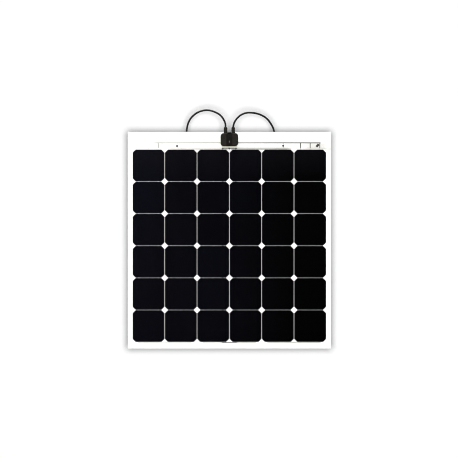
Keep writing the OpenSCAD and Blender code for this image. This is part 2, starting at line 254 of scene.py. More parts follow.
class Nodes:
    """A material's node tree with short calls for the nodes used here."""

    def __init__(self, name, bent=False):
        self.material = bpy.data.materials.new(name)
        self.material.use_nodes = True
        self.tree = self.material.node_tree
        self.tree.nodes.clear()
        self.out = self.tree.nodes.new("ShaderNodeOutputMaterial")
        self.bent = bent
        self._place = None

    def link(self, source, target):
        self.tree.links.new(source, target)

    def new(self, kind, **settings):
        node = self.tree.nodes.new(kind)
        for key, value in settings.items():
            setattr(node, key, value)
        return node

    def place(self):
        """The point on the piece at rest: stored on bent pieces, object space elsewhere."""
        if self._place is None:
            if self.bent:
                node = self.new("ShaderNodeAttribute", attribute_name="rest_place")
                self._place = node.outputs["Vector"]
            else:
                self._place = self.new("ShaderNodeTexCoord").outputs["Object"]
        return self._place

    def axes(self):
        split = self.new("ShaderNodeSeparateXYZ")
        self.link(self.place(), split.inputs[0])
        return split.outputs

    def noise(self, scale, detail, stretch=None):
        node = self.new("ShaderNodeTexNoise")
        node.inputs["Scale"].default_value = scale
        node.inputs["Detail"].default_value = detail
        source = self.place()
        if stretch is not None:
            mapping = self.new("ShaderNodeMapping")
            mapping.inputs["Scale"].default_value = stretch
            self.link(source, mapping.inputs["Vector"])
            source = mapping.outputs[0]
        self.link(source, node.inputs["Vector"])
        return node.outputs["Fac"]

    def feed(self, value, socket):
        """Gives a socket a number, a colour or another node's output."""
        if isinstance(value, tuple):
            socket.default_value = (*value, 1)
        elif isinstance(value, (int, float)):
            socket.default_value = value
        else:
            self.link(value, socket)

    def math(self, operation, a, b=None):
        node = self.new("ShaderNodeMath", operation=operation)
        self.feed(a, node.inputs[0])
        if b is not None:
            self.feed(b, node.inputs[1])
        return node.outputs[0]

    def length(self, a, b):
        """The distance from the origin in the plane of two axes."""
        square = self.math("ADD", self.math("MULTIPLY", a, a), self.math("MULTIPLY", b, b))
        return self.math("SQRT", square)

    def ramp(self, factor, *stops):
        """Colour ramp. A stop is a place and a grey number or an RGB triple."""
        node = self.new("ShaderNodeValToRGB")
        elements = node.color_ramp.elements
        while len(elements) > 1:
            elements.remove(elements[-1])
        for i, (place, colour) in enumerate(stops):
            element = elements[0] if i == 0 else elements.new(place)
            element.position = place
            rgb = (colour,) * 3 if isinstance(colour, (int, float)) else colour
            element.color = (*rgb, 1)
        self.link(factor, node.inputs[0])
        return node.outputs[0]

    def span(self, value, low, high, to_low=0.0, to_high=1.0):
        node = self.new("ShaderNodeMapRange")
        settings = (low, high, to_low, to_high)
        for name, number in zip(("From Min", "From Max", "To Min", "To Max"), settings):
            node.inputs[name].default_value = number
        self.link(value, node.inputs["Value"])
        return node.outputs[0]

    def blend(self, factor, a, b, how="MIX"):
        node = self.new("ShaderNodeMix", data_type="RGBA", blend_type=how)
        for value, place in zip((factor, a, b), (0, 6, 7)):
            self.feed(value, node.inputs[place])
        return node.outputs[2]

    def multiply(self, first, *others):
        product = first
        for other in others:
            product = self.blend(1.0, product, other, "MULTIPLY")
        return product

    def bump(self, height, distance, strength):
        node = self.new("ShaderNodeBump")
        node.inputs["Distance"].default_value = distance
        node.inputs["Strength"].default_value = strength
        self.link(height, node.inputs["Height"])
        return node.outputs[0]

    def surface(self, colour, roughness, normal, metallic=0.0, specular=0.5):
        """Ends the tree in a Principled shader. colour and roughness may be sockets."""
        shader = self.new("ShaderNodeBsdfPrincipled")
        self.feed(colour, shader.inputs["Base Color"])
        self.feed(roughness, shader.inputs["Roughness"])
        shader.inputs["Metallic"].default_value = metallic
        shader.inputs["Specular IOR Level"].default_value = specular
        self.link(normal, shader.inputs["Normal"])
        self.link(shader.outputs[0], self.out.inputs["Surface"])
        return self.material


# ---- Materials of the stage ----


def white_or_clear(n, white, clear_share):
    """Matt white, and clear where clear_share is 1."""
    diffuse = n.new("ShaderNodeBsdfDiffuse")
    n.feed(white, diffuse.inputs["Color"])
    mix = n.new("ShaderNodeMixShader")
    n.link(clear_share, mix.inputs[0])
    n.link(diffuse.outputs[0], mix.inputs[1])
    n.link(n.new("ShaderNodeBsdfTransparent").outputs[0], mix.inputs[2])
    n.link(mix.outputs[0], n.out.inputs["Surface"])
    return n.material


def wall_material():
    """White wall that fades out like the floor. It can't be seen from behind."""
    n = Nodes("wall_white")
    x, _, z = n.axes()
    radius = n.length(x, z)
    faded = n.span(radius, 1.3, 2.2)
    # Partly clear behind the sheet, whose shadow would stand out as a dark bar from the side
    rim = 70 * MM
    core_x = n.span(n.math("ABSOLUTE", x), SHEET_RIGHT, SHEET_RIGHT - rim)
    core_z = n.span(n.math("ABSOLUTE", z), SHEET_TOP, SHEET_TOP - rim)
    core = n.math("MULTIPLY", n.math("MULTIPLY", core_x, core_z), 0.65)
    behind = n.new("ShaderNodeNewGeometry").outputs["Backfacing"]
    clear_share = n.math("MAXIMUM", n.math("MAXIMUM", behind, faded), core)
    # Lighter away from the middle, where less of the front light arrives
    square = n.math("MULTIPLY", radius, radius)
    return white_or_clear(n, n.span(square, 0.0, 1.56, 0.885, 0.985), clear_share)


def floor_material():
    """White floor that fades into the white surroundings away from its middle."""
    n = Nodes("floor_white")
    x, y, _ = n.axes()
    return white_or_clear(n, (0.93, 0.93, 0.93), n.span(n.length(x, y), 0.5, 1.6))


# ---- Materials of the sheet ----


def white_back():
    """White laminate with the weave of its glass cloth pressed through."""
    n = Nodes("white_back", bent=True)
    x, _, z = n.axes()
    threads = 2 * math.pi / (1.6 * MM)
    warp, weft = (n.math("SINE", n.math("MULTIPLY", axis, threads)) for axis in (x, z))
    weave = n.math("MULTIPLY", warp, weft)
    cloud = n.noise(9, 3)
    colour = n.ramp(cloud, (0.3, (0.80, 0.805, 0.81)), (0.7, (0.86, 0.86, 0.855)))
    rough = n.span(n.noise(60, 2), 0.3, 0.7, 0.42, 0.55)
    height = n.math("ADD", n.math("MULTIPLY", weave, 0.35), n.noise(500, 2))
    return n.surface(colour, rough, n.bump(height, 0.03 * MM, 0.6))


def rear_encapsulant():
    """White encapsulant, ivory between the bus and the cells, hazy grey over the top links."""
    n = Nodes("rear_encapsulant", bent=True)
    x, _, z = n.axes()
    across = n.span(x, -SHEET_RIGHT, SHEET_RIGHT)
    share = n.span(z, ARRAY_TOP - 6 * MM, BUS_TOP)
    band = n.ramp(share, (0.0, (0.90, 0.90, 0.90)), (0.2, (0.85, 0.845, 0.81)),
                  (0.8, (0.86, 0.855, 0.83)), (1.0, (0.93, 0.93, 0.93)))
    above = n.span(z, ARRAY_TOP - 2 * MM, ARRAY_TOP + 10 * MM)
    bright = n.ramp(above, (0.0, 1.0), (0.14, 0.0), (0.55, 0.0), (1.0, 1.0))
    depth = n.ramp(across, (0.0, 0.92), (0.21, 0.92), (0.23, 0.75), (0.47, 0.6), (0.53, 0.5),
                   (0.78, 0.38), (0.81, 0.85), (1.0, 0.8))
    # The links cross every second gap, and the others keep their white diamonds
    off_gap = n.math("PINGPONG", x, 2 * HALF_PITCH)
    bright = n.math("MAXIMUM", bright, n.span(off_gap, 9 * MM, 5 * MM))
    haze = n.math("ADD", depth, n.math("MULTIPLY", n.math("SUBTRACT", 1.0, depth), bright))
    cloud = n.ramp(n.noise(14, 2), (0.3, 0.97), (0.7, 1.0))
    # A dull patch under the right end of the bus
    patch_x = n.ramp(across, (0.86, 0.0), (0.89, 1.0), (0.965, 1.0), (0.98, 0.0))
    patch_z = n.ramp(share, (0.15, 0.0), (0.3, 1.0), (0.85, 1.0), (0.95, 0.0))
    patch = n.span(n.math("MULTIPLY", patch_x, patch_z), 0.0, 1.0, 1.0, 0.78)
    colour = n.multiply(band, cloud, haze, gap_shade(n, x, z), patch)
    return n.surface(colour, 0.5, n.bump(n.noise(300, 2), 0.02 * MM, 0.5))


def gap_shade(n, x, z):
    """Painted shade: the narrow gaps between cells are darker than the white diamonds where they
    cross.
    """
    off_column = n.math("PINGPONG", x, HALF_PITCH)
    off_row = n.math("PINGPONG", n.math("SUBTRACT", z, ARRAY_TOP + ROW_GAP / 2), ROW_PITCH / 2)
    share = n.span(n.math("ADD", off_column, off_row), 11 * MM, 15 * MM)
    for inside in (n.math("LESS_THAN", n.math("ABSOLUTE", x), ARRAY_RIGHT),
                   n.math("LESS_THAN", z, ARRAY_TOP), n.math("GREATER_THAN", z, ARRAY_BOTTOM)):
        share = n.math("MULTIPLY", share, inside)
    return n.ramp(share, (0.0, 1.0), (1.0, 0.5))


def solar_cell():
    """Near-black silicon with a blue-violet cast that shifts a little from cell to cell, and
    painted reflection: lighter on the left and over the upper row.
    """
    n = Nodes("solar_cell", bent=True)
    x, _, z = n.axes()
    column = n.math("FLOOR", n.math("DIVIDE", x, 2 * HALF_PITCH))
    row = n.math("FLOOR", n.math("DIVIDE", n.math("SUBTRACT", z, ARRAY_BOTTOM), ROW_PITCH))
    cell = n.new("ShaderNodeCombineXYZ")
    n.link(column, cell.inputs[0])
    n.link(row, cell.inputs[1])
    random = n.new("ShaderNodeTexWhiteNoise", noise_dimensions="3D")
    n.link(cell.outputs[0], random.inputs["Vector"])
    tint_and_reflection = n.ramp(random.outputs["Value"], (0.0, (0.0020, 0.0021, 0.0040)),
                 (0.5, (0.0026, 0.0024, 0.0046)), (1.0, (0.0022, 0.0026, 0.0052)))
    across = n.span(x, -SHEET_RIGHT, SHEET_RIGHT)
    # Painted reflection: the cells are lighter on the left and fade to near black on the right
    tint_and_reflection = n.multiply(tint_and_reflection, n.ramp(across, (0.0, 0.85), (0.55, 0.4), (0.8, 0.06), (1.0, 0.03)))
    # Painted sheen: a faint reflection over the upper row of cells
    painted_sheen = n.ramp(across, (0.0, (0.0048, 0.0046, 0.0068)), (1.0, (0.0036, 0.0035, 0.0052)))
    tint_and_reflection = n.blend(n.span(z, ARRAY_TOP - 110 * MM, ARRAY_TOP, 0.0, 0.45), tint_and_reflection, painted_sheen)
    grain = n.ramp(n.noise(900, 3), (0.3, 0.7), (0.7, 1.25))
    streak = n.ramp(n.noise(6, 3, (1, 1, 0.35)), (0.3, 0.8), (0.7, 1.2))
    colour = n.multiply(tint_and_reflection, grain, streak)
    rough = n.span(n.noise(25, 2), 0.3, 0.7, 0.36, 0.46)
    return n.surface(colour, rough, n.bump(n.noise(1500, 2), 0.01 * MM, 0.4),
                     specular=0.04)


def tinned_ribbon():
    """Tinned copper under the encapsulant: lighter on the left, darker olive on the right."""
    n = Nodes("tinned_copper", bent=True)
    x, _, z = n.axes()
    across = n.span(x, -SHEET_RIGHT, SHEET_RIGHT)
    tone = n.ramp(across, (0.0, (0.92, 0.92, 0.90)), (0.12, (0.86, 0.86, 0.84)),
                  (0.15, (0.52, 0.52, 0.49)), (0.36, (0.46, 0.455, 0.42)),
                  (0.54, (0.27, 0.265, 0.235)), (0.70, (0.11, 0.11, 0.09)),
                  (0.88, (0.055, 0.055, 0.04)), (1.0, (0.12, 0.12, 0.10)))
    # The upright pieces below the bus are darker than the bus, except at the left end
    link_top = ARRAY_TOP + 7 * MM
    height = n.span(z, link_top, BUS_TOP - 4.5 * MM)
    dimming = n.ramp(height, (0.0, 1.0), (0.03, 0.5), (0.95, 0.5), (1.0, 1.0))
    dimming = n.math("MAXIMUM", dimming, n.span(across, 0.14, 0.11))
    link_tone = n.ramp(across, (0.0, (0.80, 0.80, 0.77)), (0.5, (0.74, 0.73, 0.70)),
                       (0.54, (0.56, 0.56, 0.53)), (1.0, (0.46, 0.46, 0.43)))
    # The lead of the middle diode is the darkest
    middle = n.math("LESS_THAN", n.math("ABSOLUTE", x), 30 * MM)
    link_tone = n.blend(middle, link_tone, (0.07, 0.07, 0.06))
    tone = n.blend(n.math("LESS_THAN", z, link_top), tone, link_tone)
    drawn = n.ramp(n.noise(500, 2, (0.08, 1, 1)), (0.3, 0.86), (0.7, 1.08))
    rough = n.span(n.noise(200, 2), 0.3, 0.7, 0.32, 0.5)
    return n.surface(n.multiply(tone, dimming, drawn), rough,
                     n.bump(n.noise(700, 2), 0.02 * MM, 0.5), metallic=0.3)


def clear_film():
    """Dimpled clear film: it passes light straight on and mirrors a little of it."""
    n = Nodes("clear_film", bent=True)
    clear = n.new("ShaderNodeBsdfTransparent")
    clear.inputs["Color"].default_value = (0.995, 0.995, 0.99, 1)
    shine = n.new("ShaderNodeBsdfAnisotropic")
    shine.inputs["Roughness"].default_value = 0.36
    dimples = n.new("ShaderNodeTexVoronoi", feature="SMOOTH_F1")
    dimples.inputs["Scale"].default_value = 650
    n.link(n.place(), dimples.inputs["Vector"])
    normal = n.bump(dimples.outputs["Distance"], 0.03 * MM, 0.4)
    n.link(normal, shine.inputs["Normal"])
    fresnel = n.new("ShaderNodeFresnel")
    fresnel.inputs["IOR"].default_value = 1.4
    n.link(normal, fresnel.inputs["Normal"])
    # Only the outer side mirrors, and less than bare glass
    outside = n.math("SUBTRACT", 1.0, n.new("ShaderNodeNewGeometry").outputs["Backfacing"])
    share = n.math("MULTIPLY", n.math("MULTIPLY", fresnel.outputs[0], 0.3), outside)
    mix = n.new("ShaderNodeMixShader")
    n.link(share, mix.inputs[0])
    n.link(clear.outputs[0], mix.inputs[1])
    n.link(shine.outputs[0], mix.inputs[2])
    n.link(mix.outputs[0], n.out.inputs["Surface"])
    return n.material


def diode_black():
    """Black moulding of the diodes and of the sleeve, bleached a little by the layers over it."""
    n = Nodes("diode_black", bent=True)
    colour = n.ramp(n.noise(1200, 2), (0.3, (0.030, 0.029, 0.026)), (0.7, (0.052, 0.051, 0.046)))
    return n.surface(colour, 0.45, n.bump(n.noise(1500, 2), 0.02 * MM, 0.5))


# ---- Materials of the box, the leads and the connectors ----


def moulded(name, dark, light, roughness, specular=0.25):
    """Moulded plastic: fine spark-eroded grain, soft clouds in the colour and the gloss."""
    n = Nodes(name)
    cloud = n.ramp(n.noise(45, 3), (0.3, dark), (0.7, light))
    specks = n.ramp(n.noise(900, 2), (0.35, 0.82), (0.65, 1.15))
    rough = n.span(n.noise(110, 2), 0.3, 0.7, roughness - 0.06, roughness + 0.08)
    return n.surface(n.multiply(cloud, specks), rough,
                     n.bump(n.noise(900, 3), 0.03 * MM, 0.8), specular=specular)


def lid_plastic(half_band, notch_low, half_notch):
    """The lid: grained panels, a smoother and darker band between them, and painted shade in the
    notch.
    """
    n = Nodes("lid_plastic")
    x, _, z = n.axes()
    off_middle = n.math("ABSOLUTE", x)
    panel = n.span(off_middle, half_band - MM, half_band + 2 * MM)
    # Painted shade: the notch is darkened where its recess would lie in shade
    notch = n.math("MULTIPLY", n.math("GREATER_THAN", z, notch_low - 0.2 * MM),
                   n.math("LESS_THAN", off_middle, half_notch + 0.2 * MM))
    cloud = n.ramp(n.noise(120, 3), (0.3, (0.0125, 0.0112, 0.0096)),
                   (0.7, (0.0195, 0.0175, 0.0150)))
    specks = n.ramp(n.noise(900, 2), (0.35, 0.75), (0.65, 1.2))
    band_tone_and_notch_shade = n.multiply(n.ramp(panel, (0.0, 0.45), (1.0, 1.0)),
                       n.ramp(notch, (0.0, 1.0), (1.0, 0.15)))
    colour = n.multiply(cloud, specks, band_tone_and_notch_shade)
    rough = n.span(panel, 0, 1, 0.42, 0.6)
    return n.surface(colour, rough, n.bump(n.noise(900, 3), 0.03 * MM, 0.8), specular=0.15)


def metal(name, dark, light, roughness):
    """Bare or plated metal with fine scratches along it."""
    n = Nodes(name)
    colour = n.ramp(n.noise(160, 3), (0.3, dark), (0.7, light))
    rough = n.span(n.noise(300, 2), 0.3, 0.7, roughness - 0.08, roughness + 0.1)
    return n.surface(colour, rough, n.bump(n.noise(900, 2, (1, 1, 0.1)), 0.01 * MM, 0.5),
                     metallic=1.0)


def sealant():
    """Cured silicone: ivory, smooth and lumpy."""
    n = Nodes("white_sealant")
    colour = n.ramp(n.noise(90, 3), (0.3, (0.44, 0.44, 0.36)), (0.7, (0.57, 0.57, 0.49)))
    return n.surface(colour, 0.28, n.bump(n.noise(160, 2), 0.25 * MM, 0.6))


def potting():
    """Poured resin with a shiny, faintly rippled skin."""
    n = Nodes("potting_resin")
    colour = n.ramp(n.noise(70, 2), (0.3, (0.010, 0.010, 0.011)), (0.7, (0.022, 0.022, 0.024)))
    rough = n.span(n.noise(40, 2), 0.3, 0.7, 0.1, 0.24)
    return n.surface(colour, rough, n.bump(n.noise(120, 2), 0.2 * MM, 0.5))


def cable_sheath():
    """Black rubbery sheath with fine drawing lines along it."""
    n = Nodes("cable_sheath")
    colour = n.ramp(n.noise(60, 3), (0.3, (0.008, 0.008, 0.0077)), (0.7, (0.015, 0.015, 0.0142)))
    rough = n.span(n.noise(180, 2), 0.3, 0.7, 0.38, 0.52)
    return n.surface(colour, rough, n.bump(n.noise(1100, 2), 0.03 * MM, 0.6), specular=0.3)


# ---- The laminated sheet ----

# Widest slice of a bent piece
STEP_X = 6.5 * MM


def rest_and_blend(obj):
    """Stores where each point rests, and bakes the piece's transform into its mesh."""
    mesh = obj.data
    places = mesh.attributes.new("rest_place", "FLOAT_VECTOR", "POINT")
    flat = [0.0] * (3 * len(mesh.vertices))
    mesh.vertices.foreach_get("co", flat)
    places.data.foreach_set("vector", flat)
    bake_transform(obj)


def layer_slab(name, span, back, front, inset):
    """One layer of the sheet over a span, between two depths in front of the back face."""
    _, low, high, *_ = span
    x0 = low + (inset if low <= -SHEET_RIGHT + 1e-6 else 0)
    x1 = high - (inset if high >= SHEET_RIGHT - 1e-6 else 0)
    z0, z1 = SHEET_BOTTOM + inset, SHEET_TOP - inset
    bm = bmesh.new()
    rings = []
    for x in spaced(x0, x1, STEP_X):
        rings.append([(x, -back, z0), (x, -front, z0), (x, -front, z1), (x, -back, z1)])
    add_rings(bm, rings)
    return bmesh_object(name, bm)


def sliced_copy(name, nodes, span, lift):
    """The CAD nodes' own shapes within a span, cut into narrow slices so that they can bend."""
    _, low, high, *_ = span
    bm = bmesh.new()
    for node in nodes:
        bm.from_mesh(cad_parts[node].data)
    bmesh.ops.remove_doubles(bm, verts=bm.verts, dist=1e-6)
    for x, keep_above in ((low, True), (high, False)):
        geometry = bm.verts[:] + bm.edges[:] + bm.faces[:]
        normal = (1, 0, 0) if keep_above else (-1, 0, 0)
        cut = bmesh.ops.bisect_plane(
            bm, geom=geometry, dist=1e-7, plane_co=(x, 0, 0), plane_no=normal, clear_inner=True
        )
        rim = [e for e in cut["geom_cut"] if isinstance(e, bmesh.types.BMEdge)]
        rim = [e for e in rim if e.is_boundary]
        if rim:
            bmesh.ops.holes_fill(bm, edges=rim)
    for x in spaced(low, high, STEP_X)[1:-1]:
        geometry = bm.verts[:] + bm.edges[:] + bm.faces[:]
        bmesh.ops.bisect_plane(bm, geom=geometry, dist=1e-7, plane_co=(x, 0, 0), plane_no=(1, 0, 0))
    bmesh.ops.translate(bm, verts=bm.verts, vec=(0, -lift, 0))
    return bmesh_object(name, bm)


def depth_range(node):
    low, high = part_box(node)
    return -high.y, -low.y


def make_sheet():
    clearance = 0.06 * MM
    film_front = depth_range("front_film_left_outer")[1]
    fill_back, fill_front = depth_range("rear_encapsulant_left_outer")
    cell_front = depth_range("cells_column_1")[1]
    back_front = depth_range("back_sheet_center")[1]
    layers = [
        # Name, back depth, front depth, inset, material, slot
        ("back_sheet", 0.0, back_front, 0.0, white_back(), "white_back"),
        ("rear_encapsulant", fill_back + clearance, fill_front - clearance, 0.15 * MM,
         rear_encapsulant(), "rear_encapsulant"),
        ("front_film", cell_front + 2 * clearance, film_front, 0.0,
         clear_film(), "clear_film"),
    ]
    copies = [
        # Name, node name of a strip, lift, material, slot
        ("ribbons", "ribbons_{}", clearance, tinned_ribbon(), "tinned_copper"),
        ("cell_tabs", "cell_tabs_{}", clearance / 2, tinned_ribbon(), "tinned_copper"),
    ]
    cell_material = solar_cell()
    # Columns of cells that lie in a span, whole or in part
    columns = {
        "left_outer": [1, 2], "left_inner": [2, 3],
        "right_inner": [4, 5], "right_outer": [5, 6],
    }
    for span in SPANS:
        part = span[0]
        for name, back, front, inset, material, slot in layers:
            obj = layer_slab(f"{name}_{part}_bent", span, back, front, inset)
            stood_for = [f"{name}_{s}" for s in STRIPS_OF[part]]
            if name == "front_film":
                # The film and the encapsulant under it are one clear layer to the eye
                stood_for += [f"front_encapsulant_{s}" for s in STRIPS_OF[part]]
            finish_bent(obj, material, stood_for)
            # Its bright back would otherwise light the wall and wash out the sheet's shadow
            obj.visible_diffuse = name != "back_sheet"
        for name, pattern, lift, material, slot in copies:
            stood_for = [pattern.format(s) for s in STRIPS_OF[part]]
            # The nodes of the strip beside an outer one reach into its span
            reaching = [pattern.format(span[4])] if part.endswith("outer") else []
            obj = sliced_copy(f"{name}_{part}_bent", stood_for + reaching, span, lift)
            finish_bent(obj, material, stood_for)
        nodes = [f"cells_column_{c}" for c in columns[part]]
        obj = sliced_copy(f"cells_{part}_bent", nodes, span, clearance)
        finish_bent(obj, cell_material, nodes)
    make_diodes()
    make_sleeve()


def finish_bent(obj, material, nodes):
    wear(obj, material)
    rest_and_blend(obj)
    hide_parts(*nodes)


def make_diodes():
    """Bypass diodes: domed discs that show through the clear layers."""
    material = diode_black()
    for side, span in (("left", SPANS[0]), ("center", SPANS[2]), ("right", SPANS[3])):
        node = f"bypass_diode_{side}"
        low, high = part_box(node)
        centre, radius = (low + high) / 2, (high.x - low.x) / 2
        bm = bmesh.new()
        profile = [(1.0, 0.0), (1.0, 0.55), (0.93, 0.8), (0.8, 0.93), (0.55, 1.0)]
        rings = []
        for share, rise in profile:
            y = high.y - rise * (high.y - low.y)
            turn = [2 * math.pi * i / 24 for i in range(24)]
            rings.append([(centre.x + share * radius * math.cos(a), y,
                           centre.z + share * radius * math.sin(a)) for a in turn])
        add_rings(bm, rings)
        obj = bmesh_object(f"{node}_domed", bm, smooth_angle=40)
        finish_bent(obj, material, [node])


def make_sleeve():
    """Black sleeve on the tail of the last ribbon, askew under the clear layers."""
    _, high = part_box("ribbons_right_outer")
    centre = Vector((high.x - 12 * MM, 0, high.z - 12.5 * MM))
    half_length, half_width = 7.2 * MM, 4.4 * MM
    along, across = Vector((0.68, 0, 0.73)), Vector((0.73, 0, -0.68))
    depth = depth_range("rear_encapsulant_right_outer")[1]
    bm = bmesh.new()
    rings = []
    for share in (-1.0, -0.93, -0.5, 0.0, 0.5, 0.93, 1.0):
        half = half_width * (0.6 if abs(share) == 1.0 else 1.0) * (1 + 0.08 * share)
        middle = centre + along * share * half_length
        ring = []
        for side, rise in ((-1.0, 0.0), (-0.8, 0.3), (0.8, 0.3), (1.0, 0.0)):
            point = middle + across * side * half
            ring.append((point.x, -(depth + rise * MM), point.z))
        rings.append(ring)
    add_rings(bm, rings)
    obj = bmesh_object("ribbon_sleeve", bm, smooth_angle=40)
    wear(obj, diode_black())
    rest_and_blend(obj)


# ---- Leads ----

CABLE_D = 7.5 * MM
# The routes of part.scad: x, y and height above the sheet's top edge, in millimetres
LEFT_ROUTE = [
    (-15, -10, -4), (-15, -10, 18), (-16, -10, 33), (-23, -9, 49), (-34, -7, 64),
    (-52, -4, 76), (-70, 0, 83), (-89, 4, 86), (-109, 8, 83), (-127, 11, 76),
    (-143, 13, 64), (-155, 15, 50), (-163, 16, 33), (-167, 16, 16), (-169, 16, -1),
    (-170, 16, -25), (-170, 16, -60), (-171, 16, -110), (-171, 17, -170),
    (-172, 18, -240), (-172, 19, -320), (-172, 20, -400), (-172, 21, -480),
    (-172, 22, -560), (-172, 22, -620), (-172, 22, -665),
]
RIGHT_ROUTE = [
    (15, -10, -4), (15, -10, 18), (18, -10, 32), (25, -9, 46), (36, -7, 59),
    (50, -4, 69), (67, 0, 75), (85, 4, 76), (103, 8, 74), (121, 11, 69),
    (137, 13, 61), (151, 15, 50), (161, 16, 37), (170, 16, 22), (176, 16, 6),
    (181, 16, -12), (184, 16, -40), (186, 16, -80), (187, 16, -120), (187, 17, -170),
    (187, 18, -240), (187, 19, -320), (187, 20, -400), (187, 21, -480),
    (187, 22, -560), (187, 22, -620), (187, 22, -665),
]


def in_metres(route):
    return [Vector((x * MM, y * MM, SHEET_TOP + z * MM)) for x, y, z in route]


def make_cable(side, route, material):
    points = in_metres(route)
    curve = bpy.data.curves.new(f"lead_{side}", "CURVE")
    curve.dimensions = "3D"
    curve.bevel_depth = CABLE_D / 2
    curve.bevel_resolution = 6
    curve.resolution_u = 8
    curve.use_fill_caps = True
    spline = curve.splines.new("BEZIER")
    spline.bezier_points.add(len(points) - 1)
    for knot, place in zip(spline.bezier_points, points):
        knot.co = place
        knot.handle_left_type = knot.handle_right_type = "AUTO"
    cable = in_scene(f"lead_{side}", curve)
    wear(cable, material)
    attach(cable, "root")
    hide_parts(f"cable_{side}")


# ---- Turned pieces ----


def add_turned(bm, x, y, profile, ribs, sides):
    """A body turned about an upright axis. Each point is radius, height and rib depth."""
    rings = []
    for radius, z, rib in profile:
        ring = []
        for i in range(sides):
            a = 2 * math.pi * i / sides
            r = radius - (0.5 - 0.5 * math.cos(ribs * a)) ** 2 * rib
            ring.append((x + r * math.cos(a), y + r * math.sin(a), z))
        rings.append(ring)
    add_rings(bm, rings)


def scaled_profile(start_z, direction, rows):
    """Profile rows in millimetres along the axis, as metres from start_z."""
    return [(r * MM, start_z + direction * along * MM, rib * MM) for r, along, rib in rows]


def add_block(bm, low, high, chamfer):
    """A block with chamfered edges along its longest faces."""
    (x0, y0, z0), (x1, y1, z1) = low, high
    c = chamfer
    rings = []
    for z, inset in ((z0, c), (z0 + c, 0), (z1 - c, 0), (z1, c)):
        a, b, d, e = x0 + inset, x1 - inset, y0 + inset, y1 - inset
        rings.append([
            (a + c, d, z), (b - c, d, z), (b, d + c, z), (b, e - c, z),
            (b - c, e, z), (a + c, e, z), (a, e - c, z), (a, d + c, z),
        ])
    add_rings(bm, rings)


def ride_in_place(obj, body, material, slot, *nodes):
    wear(obj, material)
    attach(obj, body)
    if nodes:
        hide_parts(*nodes)


def make_glands(material):
    for side in ("left", "right"):
        node = f"gland_nut_{side}"
        low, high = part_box(node)
        x, y = (low.x + high.x) / 2, (low.y + high.y) / 2
        full = (high.x - low.x) / 2 / MM
        length = (high.z - low.z) / MM
        bore = CABLE_D / 2 / MM + 0.15
        rows = [
            (full - 0.5, 0, 0), (full, 0.5, 0), (full, 1.6, 0), (full - 0.35, 1.9, 0),
            (full, 2.2, 0), (full, 2.6, 0.6), (full, length - 4.4, 0.6),
            (full - 0.2, length - 3.9, 0.2), (full - 0.5, length - 3.3, 0),
            (full - 1.1, length - 2.0, 0), (full - 1.8, length - 0.8, 0),
            (full - 2.2, length, 0), (bore + 0.3, length, 0), (bore, length - 0.4, 0),
            (bore, 15.0, 0),
        ]
        bm = bmesh.new()
        add_turned(bm, x, y, scaled_profile(low.z, 1, rows), ribs=14, sides=112)
        obj = bmesh_object(f"{node}_ribbed", bm, smooth_angle=SHARP_ANGLE)
        ride_in_place(obj, "root", material, "gland_plastic", node)


# ---- Connectors ----

# Profiles in millimetres: radius, distance below the nut's top, rib depth
NUT_ROWS = [
    (4.1, 0.3, 0), (4.4, 0, 0), (5.6, 0, 0), (6.3, 0.5, 0), (7.4, 2.2, 0), (8.3, 3.6, 0),
    (9.0, 4.2, 0), (9.0, 4.8, 0.6), (9.0, 13.6, 0.6), (9.0, 14.2, 0), (8.7, 15.0, 0),
    (8.3, 15.4, 0), (8.2, 16.0, 0),
]
BODY_ROWS = [
    (7.3, 15.9, 0), (7.3, 16.5, 0), (8.0, 16.7, 0), (8.2, 17.0, 0), (8.2, 18.6, 0),
    (7.6, 19.2, 0), (7.2, 19.8, 0.3), (7.2, 22.4, 0.3), (7.7, 23.0, 0), (8.2, 23.8, 0),
    (8.2, 34.0, 0), (8.0, 34.8, 0), (7.4, 35.6, 0), (6.6, 36.0, 0),
]
SOCKET_NOSE_ROWS = [
    (5.9, 36.2, 0), (5.6, 36.6, 0), (5.6, 38.9, 0), (4.95, 39.1, 0), (4.95, 40.9, 0),
    (5.6, 41.1, 0), (5.6, 54.6, 0), (5.3, 55.4, 0), (4.8, 56.0, 0), (3.3, 56.0, 0),
    (3.1, 55.7, 0), (3.1, 50.0, 0),
]
SHROUD_ROWS = [
    (8.2, 36.0, 0), (8.2, 38.0, 0), (8.2, 54.4, 0), (8.0, 55.4, 0), (7.6, 56.0, 0),
    (6.6, 56.0, 0), (6.1, 55.5, 0), (6.1, 36.2, 0), (5.0, 36.0, 0),
]


def add_latch_arms(bm, x, y, top, start, end):
    """Two springy arms beside the nose, with a hook at each tip."""
    for side in (-1, 1):
        low_x, high_x = sorted((x + side * 6.6 * MM, x + side * 8.1 * MM))
        add_block(bm, (low_x, y - 2.6 * MM, top - end * MM),
                  (high_x, y + 2.6 * MM, top - start * MM), 0.3 * MM)
        hook_low, hook_high = sorted((x + side * 7.4 * MM, x + side * 8.9 * MM))
        add_block(bm, (hook_low, y - 2.6 * MM, top - end * MM),
                  (hook_high, y + 2.6 * MM, top - (end - 3.2) * MM), 0.5 * MM)


